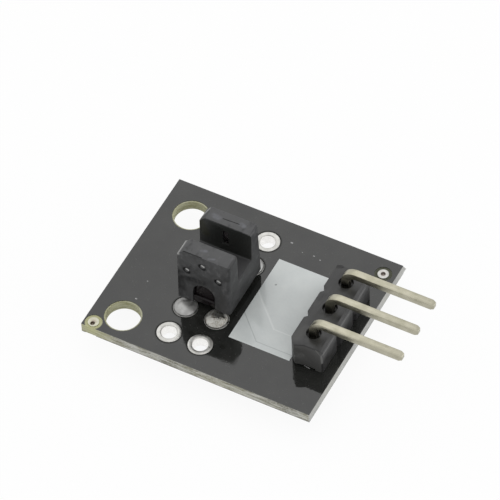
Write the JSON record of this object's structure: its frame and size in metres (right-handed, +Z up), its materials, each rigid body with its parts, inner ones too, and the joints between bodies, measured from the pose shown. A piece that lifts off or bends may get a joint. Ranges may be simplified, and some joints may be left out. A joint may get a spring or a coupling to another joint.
{
  "type": "infrared slot sensor module",
  "caption": "Small black circuit board with a slotted optical switch soldered on it and a right-angle pin header at one edge.",
  "frame": {"origin": "midway between the two mounting holes, on the board's underside", "axes": "+X along the board from the mounting holes towards the header's pins, +Y towards the back edge, +Z up out of the board's sensor side"},
  "size_m": [0.0235, 0.0154, 0.0081],
  "materials": {
    "laminate": "sawn glass-fibre laminate, olive to grey, dull",
    "solder_mask": "thin glossy black film",
    "white_ink": "smooth off-white printed ink, satin",
    "tin_plating": "bright tin, slightly uneven",
    "housing_plastic": "fine-grained matte black moulding",
    "emitter_resin": "dark reddish clear resin, smooth",
    "detector_resin": "near-black daylight-filter resin, smooth",
    "lead_metal": "tinned strip, satin",
    "solder": "solidified solder, from smooth to frosty",
    "header_plastic": "black moulded plastic, slightly satin",
    "pin_metal": "pale gold-flashed brass, satin with fine drawing marks",
    "chip_ceramic": "white alumina, dull",
    "chip_glaze": "black fired glaze, glossy"
  },
  "bodies": {
    "root": {"circuit_board": "laminate", "solder_mask_top": "solder_mask", "solder_mask_bottom": "solder_mask", "printed_panel": "white_ink", "spare_hole_plating_1": "tin_plating", "spare_hole_plating_2": "tin_plating", "spare_hole_plating_3": "tin_plating", "spare_hole_plating_4": "tin_plating", "sensor_hole_plating_1": "tin_plating", "sensor_hole_plating_2": "tin_plating", "sensor_hole_plating_3": "tin_plating", "sensor_hole_plating_4": "tin_plating", "header_hole_plating_1": "tin_plating", "header_hole_plating_2": "tin_plating", "header_hole_plating_3": "tin_plating", "corner_pad_1": "tin_plating", "corner_pad_2": "tin_plating", "sensor_housing": "housing_plastic", "emitter_package": "emitter_resin", "detector_package": "detector_resin", "sensor_lead_1": "lead_metal", "sensor_lead_2": "lead_metal", "sensor_lead_3": "lead_metal", "sensor_lead_4": "lead_metal", "sensor_solder_1": "solder", "sensor_solder_2": "solder", "sensor_solder_3": "solder", "sensor_solder_4": "solder", "header_body": "header_plastic", "header_pin_1": "pin_metal", "header_pin_2": "pin_metal", "header_pin_3": "pin_metal", "header_solder_1": "solder", "header_solder_2": "solder", "header_solder_3": "solder", "resistor_pads_1": "tin_plating", "resistor_pads_2": "tin_plating", "resistor_core_1": "chip_ceramic", "resistor_core_2": "chip_ceramic", "resistor_glaze_1": "chip_glaze", "resistor_glaze_2": "chip_glaze", "resistor_caps_1": "tin_plating", "resistor_caps_2": "tin_plating", "resistor_solder_1": "solder", "resistor_solder_2": "solder"}
  },
  "joints": []
}
